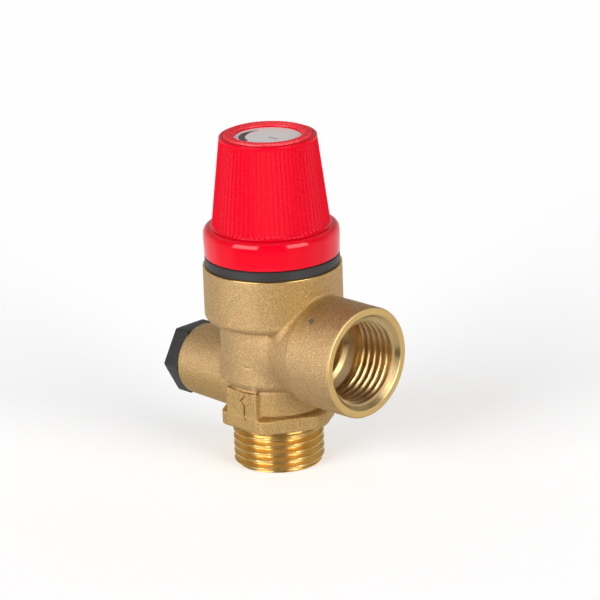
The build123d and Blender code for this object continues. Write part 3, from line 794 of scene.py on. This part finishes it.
# the grid's spacing; the box that is sampled holds the whole forging
step = 0.27
FIELD_LOW, FIELD_HIGH = (-25.2, -16.7, 10.0), (30.0, 16.7, 48.6)
surface = field_surface(
    FIELD_LOW, FIELD_HIGH, step, lambda c: machined_zone(c) | arrow_zone(c, 0.1)
)
ARROW_MARGIN, ARROW_LAP = 0.3, 0.012
arrows = []
for y_low, y_high in ((-12.4, -11.0), (11.0, 12.4)):
    x_ends = ARROW_LOW[0], ARROW_HIGH[0]
    if y_low > 0:
        x_ends = -ARROW_HIGH[0], -ARROW_LOW[0]
    low = (x_ends[0] - ARROW_MARGIN, y_low, ARROW_LOW[1] - ARROW_MARGIN)
    high = (x_ends[1] + ARROW_MARGIN, y_high, ARROW_HIGH[1] + ARROW_MARGIN)
    points, faces, _, normals = field_surface(
        low, high, step / 4, lambda c: ~arrow_zone(c, -0.2)
    )
    # the finer patch laps over the coarser one, a hair outside it
    points[:, 1] += math.copysign(ARROW_LAP, y_low)
    # painted shade: the sunk arrow's walls get a darker copy of the brass
    tilted = np.abs(normals[np.array(faces)].mean(1)[:, 1]) < 0.9
    arrows.append((points, faces, np.where(tilted, SHADED, FORGED), normals))
body_looks = (
    "forged_brass",
    "machined_brass",
    "outlet_brass",
    "face_brass",
    "lit_relief_brass",
    "shaded_brass",
)
body = new_object(
    "valve_body_forging",
    [surface, outlet, inlet, barrel_end] + arrows,
    [looks[name] for name in body_looks],
)
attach(body, "housing")
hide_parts("valve_body")

# ======================================================================= control cap
FLUTES, COLS_PER_FLUTE, FLUTE_DEPTH = 72, 10, 0.30
CONE_LOW_R, CONE_LOW_Z, CONE_TOP_R, CONE_TOP_Z = 13.6, 57.3, 11.2, 77.5
CAP_TOP, RIM_GRAIN = 78.4, 0.05
LABEL_R, CAP_SKIRT_R, CAP_SKIRT_LOW = 7.8, 13.9, 50.25
RED, GRAINED, SATIN = range(3)


def fluted(r, h, angle):
    """Narrow rounded ridges between shallow flutes that run out over the shoulder of the rim."""
    u = np.cos(angle * FLUTES / 2)
    flute = np.sqrt(u * u + 0.02) / math.sqrt(1.02)
    # the flutes' depth along the cone, then the grain round the top of the rim
    on = ramp(h, CONE_LOW_Z - 0.15, CONE_LOW_Z + 0.5) * (h > 57.1)
    on = on * (1 - ramp(h, 76.9, 77.7))
    grain = np.sin(angle * 151 + r * 31) * np.sin(angle * 97 - r * 17)
    grain = grain * np.sin(r * 13 + h * 11)
    rough = RIM_GRAIN * grain * (h > 78.1) * (r > 7.9) * (r < 10.15)
    return r - FLUTE_DEPTH * on * flute + rough


slope_z = np.concatenate(
    [between(57.35, 58.1, 0.15), between(60, 75.5, 4), between(76.0, 77.4, 0.1)]
)
slope_r = np.interp(slope_z, (CONE_LOW_Z, CONE_TOP_Z), (CONE_LOW_R, CONE_TOP_R))
turn = np.linspace(0, math.pi / 2, 15)[1:-1]
shoulder = rounded(
    [
        (CONE_TOP_R, CONE_TOP_Z, 0),
        (11.1, 78.0, 0.35),
        (10.3, 78.05, 0.12),
        (10.2, 77.8, 0.1),
        (10.12, 77.8, 0),
    ],
    6,
)
cap_profile = np.vstack(
    [
        rounded(
            [
                (CAP_SKIRT_R, CAP_SKIRT_LOW, 0),
                (15.45, CAP_SKIRT_LOW, 0.35),
                (15.5, 51.4, 0.3),
                (15.6, 54.6, 0),
            ]
        ),
        # the skirt's shoulder, squarer than a circle
        np.stack([13.9 + 1.7 * np.cos(turn) ** 0.72, 54.9 + 2.1 * np.sin(turn) ** 0.72], 1),
        rounded([(14.1, 57.0, 0), (13.66, 57.05, 0.2), (CONE_LOW_R, CONE_LOW_Z, 0)]),
        np.stack([slope_r, slope_z], 1),
        shoulder,
        rounded(
            [
                (10.1, 77.82, 0),
                (10.08, CAP_TOP - 0.22, 0.2),
                (9.75, CAP_TOP + 0.05, 0.25),
                (9.4, CAP_TOP, 0),
            ]
        ),
        np.stack([between(9.3, 8.8, 0.1), np.full(6, CAP_TOP)], 1),
        rounded(
            [
                (8.7, CAP_TOP, 0),
                (8.4, CAP_TOP, 0.3),
                (LABEL_R, 78.0, 0.15),
                (LABEL_R, 77.2, 0),
            ]
        ),
    ]
)
cap_slots = np.where(cap_profile[:, 1] > 57.2, SATIN, RED)
cap_slots[(cap_profile[:, 1] > 77.6) & (cap_profile[:, 0] < 10.15)] = GRAINED
cap_outside = turned(
    cap_profile, FLUTES * COLS_PER_FLUTE, about_z, shape=fluted, slot=cap_slots
)
# the top of the rim is coarse-grained: waves (round, out) added to its height
WAVES = (61, 9), (97, -14), (151, 22), (211, -31)
top_points = cap_outside[0]
top_rho = np.hypot(top_points[:, 0], top_points[:, 1])
top_turn = np.arctan2(top_points[:, 1], top_points[:, 0])
waves = sum(np.sin(k * top_turn + m * top_rho) for k, m in WAVES)
on_top = (top_points[:, 2] > 78.1) & (top_rho > 7.9) & (top_rho < 10.12)
top_points[:, 2] += RIM_GRAIN * waves * on_top
CAM_LEDGE, CAM_DROP, CAM_LOW = 68.1, 2.0, 66.1
CAM_ARC, CAM_ROWS = 80, 24
cap_inside = turned(
    rounded(
        [
            (LABEL_R, 77.2, 0),
            (4.6, 77.2, 0),
            (4.6, 73.8, 0),
            (2.15, 73.8, 0),
            (2.15, 71.5, 0),
            (8.8, 71.5, 0),
            (8.8, CAM_LEDGE, 0),
            (10.7, CAM_LEDGE, 0),
            (11.9, 57.2, 0.5),
            (CAP_SKIRT_R, 55.0, 0.5),
            (CAP_SKIRT_R, CAP_SKIRT_LOW, 0),
        ]
    ),
    144,
    about_z,
)


def cam(start):
    """One ramp of the cap's cam, hanging under the ledge inside it and let into it."""
    arc = np.linspace(0.5, CAM_ARC, CAM_ROWS)
    angle = np.radians(arc)[:, None] + start
    low = CAM_LOW + CAM_DROP * arc[:, None] / CAM_ARC
    top = 0 * low + 68.3
    r = np.array([8.95, 10.05, 10.05, 8.95])[None, :]
    z = np.concatenate([low, low, top, top], 1)
    points = np.stack([r * np.cos(angle), r * np.sin(angle), z], -1).reshape(-1, 3)
    last = 4 * (CAM_ROWS - 1)
    faces = grid_faces(CAM_ROWS, 4) + [(3, 2, 1, 0), tuple(range(last, last + 4))]
    return points, faces, RED, None


cap = new_object(
    "control_cap_shell",
    [cap_outside, cap_inside] + [cam(k * math.pi / 2) for k in range(4)],
    [looks["red_plastic"], looks["red_grained"], looks["red_satin"]],
)
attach(cap, "cap_group")
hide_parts("control_cap")

# ======================================================================= gauge plug
PLUG_FLAT = 8.85 * math.cos(math.pi / 6)
PLUG_END = PLUG_LOW.x - 0.35
PLUG_SHANK_R = 6.5
PLUG_CORNERS = 60  # the higher, the sharper the hexagon's corners


def plug_shape(r, h, angle):
    """Rounded hexagon over the head, round over the shank."""
    sides = sum(np.abs(np.sin(angle + k * math.pi / 3)) ** PLUG_CORNERS for k in range(3))
    head = sides ** (-1 / PLUG_CORNERS)
    return r * np.where(h < PORT_FACE + 0.01, head, 1.0)


plug_profile = rounded(
    [
        (0.01, PLUG_END, 0),
        (PLUG_FLAT, PLUG_END, 0.45),
        (PLUG_FLAT, PORT_FACE, 0.2),
        (PLUG_SHANK_R, PORT_FACE + 0.005, 0),
        (PLUG_SHANK_R, PORT_FACE + 0.2, 0),
        (PLUG_SHANK_R, PLUG_HIGH.x, 0.3),
        (0.01, PLUG_HIGH.x, 0),
    ],
    5,
)
plug = new_object(
    "gauge_plug_head",
    [turned(plug_profile, 216, about_port, shape=plug_shape, flip=True)],
    [looks["black_plastic"]],
)
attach(plug, "housing")
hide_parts("gauge_plug")

# ======================================================================= relief spring
SPRING_R, WIRE_R, COILS, WIRE_SIDES = 6.9, 1.25, 5.5, 20
turns = np.linspace(0, 1, 441)
sweep = turns * COILS * 2 * np.pi
# the end coils lie flat: the rise eases in and out over the first and last turn
rise = np.cumsum(ramp(turns, 0.02, 0.16) * (1 - ramp(turns, 0.84, 0.98)))
span = SPRING_HIGH.z - SPRING_LOW.z - 2 * WIRE_R
rise = SPRING_LOW.z + WIRE_R + span * rise / rise[-1]
section = np.linspace(0, 2 * np.pi, WIRE_SIDES, endpoint=False)
coil_r = SPRING_R + WIRE_R * np.cos(section)[None, :]
coil_z = rise[:, None] + WIRE_R * np.sin(section)[None, :]
coil_points = np.stack(
    [coil_r * np.cos(sweep)[:, None], coil_r * np.sin(sweep)[:, None], coil_z], -1
).reshape(-1, 3)
first_end = range(WIRE_SIDES)
last_end = range(len(coil_points) - WIRE_SIDES, len(coil_points))
coil_faces = grid_faces(len(turns), WIRE_SIDES)
coil_faces += [tuple(first_end)[::-1], tuple(last_end)]
spring = new_object(
    "relief_spring_coil", [(coil_points, coil_faces, 0, None)], [looks["spring_steel"]]
)
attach(spring, "housing")
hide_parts("relief_spring")
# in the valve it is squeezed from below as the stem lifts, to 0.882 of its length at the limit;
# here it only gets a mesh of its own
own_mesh(spring)

# ======================================================================= diaphragm
# its rings lie closest between these radii: the stem holds it inside them and the body outside.
# Known fault: this is a flat slab as thick as the CAD sheet's box, 1.6 mm, where the CAD
# sheet is 1.0 mm with a raised fold. It runs 0.6 mm into the clamp ring and lower plate.
HOLE_R, FOLD_IN, FOLD_OUT, SHEET_COLS = 2.6, 8.4, 10.8, 96
radii = np.concatenate(
    [
        between(HOLE_R, FOLD_IN, 0.6),
        between(FOLD_IN, FOLD_OUT, 0.2)[1:],
        between(FOLD_OUT, SHEET_HIGH.x, 0.5)[1:],
    ]
)
sheet_profile = np.vstack(
    [
        [(HOLE_R, SHEET_LOW.z)],
        np.stack([radii, np.full_like(radii, SHEET_HIGH.z)], 1),
        np.stack([radii[::-1], np.full_like(radii, SHEET_LOW.z)], 1),
    ]
)
sheet = new_object(
    "diaphragm_sheet",
    [turned(sheet_profile, SHEET_COLS, about_z, flip=True)],
    [looks["rubber"]],
)
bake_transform(sheet)
spans = sheet_profile[:, 0].repeat(SHEET_COLS)
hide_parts("diaphragm")

# ======================================================================= floor, light and camera
FLOOR_HALF = 3.0
floor_corners = [
    (i * FLOOR_HALF, j * FLOOR_HALF, 0) for i, j in ((-1, -1), (1, -1), (1, 1), (-1, 1))
]
floor_mesh = bpy.data.meshes.new("floor")
floor_mesh.from_pydata(floor_corners, [], [(0, 1, 2, 3)])
floor = bpy.data.objects.new("floor", floor_mesh)
bpy.context.scene.collection.objects.link(floor)


def floor_look(tree, shader):
    shader.inputs["Base Color"].default_value = (0.90, 0.90, 0.90, 1)
    shader.inputs["Emission Color"].default_value = (1, 1, 1, 1)
    shader.inputs["Emission Strength"].default_value = 0.40
    shader.inputs["Roughness"].default_value = 0.9
    shader.inputs["Specular IOR Level"].default_value = 0.0


floor_mesh.materials.append(material("floor", floor_look))
floor.location.z = cad_low.z
floor.visible_glossy = False

# the camera was fitted to the valve's outline in the photograph
azimuth, elevation, roll = (math.radians(v) for v in (45.18, 18.18, 2.0))
distance = 0.784
back = Vector(
    (
        math.sin(azimuth) * math.cos(elevation),
        -math.cos(azimuth) * math.cos(elevation),
        math.sin(elevation),
    )
)
right = Vector((math.cos(azimuth), math.sin(azimuth), 0))
up = back.cross(right)
aim = Vector((0, 0, 38.45 * MM)) + right * 5.98 * MM
across = right * math.cos(roll) - up * math.sin(roll)
upward = up * math.cos(roll) + right * math.sin(roll)
camera = bpy.data.objects.new("camera", bpy.data.cameras.new("camera"))
camera.data.sensor_width = 36.0
camera.data.lens = 205.5
camera.data.clip_start = 0.05
camera.data.clip_end = 20.0
rotation = Matrix((across, upward, back)).transposed()
camera.matrix_world = Matrix.Translation(aim + back * distance) @ rotation.to_4x4()
bpy.context.scene.collection.objects.link(camera)
bpy.context.scene.camera = camera

world = bpy.data.worlds.new("studio")
bpy.context.scene.world = world
world.use_nodes = True
tree = world.node_tree
tree.nodes.clear()
direction = node(tree, "ShaderNodeTexCoord").outputs["Generated"]


def along(vector):
    return vector_math(tree, "DOT_PRODUCT", direction, vector).outputs["Value"]


# bearing is counted from the camera's side, to the right; height is above the horizon
front = Vector((back.x, back.y, 0)).normalized()
bearing = math_node(tree, "ARCTAN2", along(right), along(front))
height = math_node(tree, "ARCSINE", along(Vector((0, 0, 1))))


def panel(*row):
    """Light from one panel of the studio: see the rows below."""
    *limits, power, soft = row
    left, right_end, low_end, high_end = (math.radians(v) for v in limits)
    soft = math.radians(soft)
    across_it = window(tree, bearing, left, right_end, soft)
    up_it = window(tree, height, low_end, high_end, soft)
    return math_node(tree, "MULTIPLY", math_node(tree, "MULTIPLY", across_it, up_it), power)


panels = [
    # bearing from, bearing to, elevation from, elevation to, power, softness of the edges
    (-67, -24, -6, 36, 5.5, 2),
    (26, 62, -6, 36, 5.2, 2),
    (-400, 400, -120, -23, 0.45, 7),
    (26, 66, -22, -8, 0.20, 3),
    (-110, -66, -26, 0, 0.35, 8),
    (66, 110, -26, 0, 0.50, 8),
    (-110, -66, 0, 45, 0.10, 8),
    (66, 110, 0, 45, 0.10, 8),
    (-200, -108, -26, 14, 0.70, 8),
    (108, 200, -26, 14, 0.70, 8),
    (-200, -108, 18, 50, 0.30, 8),
    (108, 200, 18, 50, 0.30, 8),
    (-400, 400, 45, 120, 0.24, 12),
]
light = 0.04
for panel_sides in panels:
    light = math_node(tree, "ADD", light, panel(*panel_sides))
background = node(tree, "ShaderNodeBackground", {"Strength": light, "Color": (1, 1, 1, 1)})
output = node(tree, "ShaderNodeOutputWorld")
tree.links.new(background.outputs[0], output.inputs["Surface"])
bpy.context.scene.view_settings.view_transform = "Standard"
